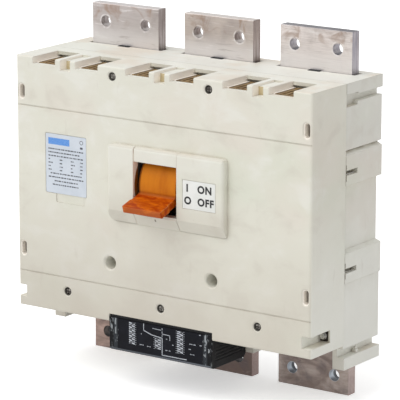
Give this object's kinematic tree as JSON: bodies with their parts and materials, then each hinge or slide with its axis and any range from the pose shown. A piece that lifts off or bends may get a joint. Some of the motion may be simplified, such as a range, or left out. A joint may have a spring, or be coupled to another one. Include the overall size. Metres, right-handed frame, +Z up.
{
  "type": "industrial circuit breaker",
  "caption": "Large moulded-case circuit breaker with flat terminal bars above and below, arc vents, a toggle handle in a raised escutcheon and a plug-in trip unit.",
  "frame": {"origin": "centre of the rear mounting face, at mid height of the front cover", "axes": "+Z up, +X to the right of someone who faces the front, +Y out of the back into the panel"},
  "size_m": [0.428, 0.187, 0.4402],
  "materials": {
    "ivory_housing": "moulded ivory thermoset, satin",
    "ivory_escutcheon": "moulded ivory plastic, satin",
    "amber_handle": "amber moulded plastic, glossy",
    "shaft_steel": "plain steel",
    "tinned_bar": "tinned copper, brushed and stained",
    "arc_fibre": "pressed fibre board",
    "splitter_steel": "plain steel plate",
    "black_case": "black moulded plastic, ribbed",
    "navy_face": "dark printed face plate",
    "clear_clip": "smoky clear plastic",
    "white_switch": "white plastic",
    "clip_steel": "spring steel"
  },
  "bodies": {
    "housing": {"base_housing": "ivory_housing", "front_cover": "ivory_housing", "escutcheon_plate": "ivory_escutcheon", "escutcheon_left_block": "ivory_escutcheon", "escutcheon_right_block": "ivory_escutcheon", "handle_shaft": "shaft_steel", "upper_terminal_left": "tinned_bar", "upper_terminal_centre": "tinned_bar", "upper_terminal_right": "tinned_bar", "lower_terminal_left": "tinned_bar", "lower_terminal_centre": "tinned_bar", "lower_terminal_right": "tinned_bar", "arc_chute_left": "arc_fibre", "arc_chute_centre": "arc_fibre", "arc_chute_right": "arc_fibre", "splitter_plates_left": "splitter_steel", "splitter_plates_centre": "splitter_steel", "splitter_plates_right": "splitter_steel", "trip_unit_case": "black_case", "trip_unit_face_plate": "navy_face", "trip_unit_clip_left": "clear_clip", "trip_unit_clip_right": "clear_clip", "selector_bank_left": "white_switch", "selector_bank_centre": "white_switch", "selector_bank_right": "white_switch", "cover_clip_left_upper": "clip_steel", "cover_clip_left_lower": "clip_steel", "cover_clip_right_upper": "clip_steel", "cover_clip_right_lower": "clip_steel"},
    "handle": {"operating_handle": "amber_handle"}
  },
  "joints": [
    {"name": "handle_pivot", "type": "hinge", "parent": "housing", "child": "handle", "pos_m": [0, -0.113, 0.018], "axis": [-1, 0, 0], "range_deg": [-4, 38]}
  ]
}
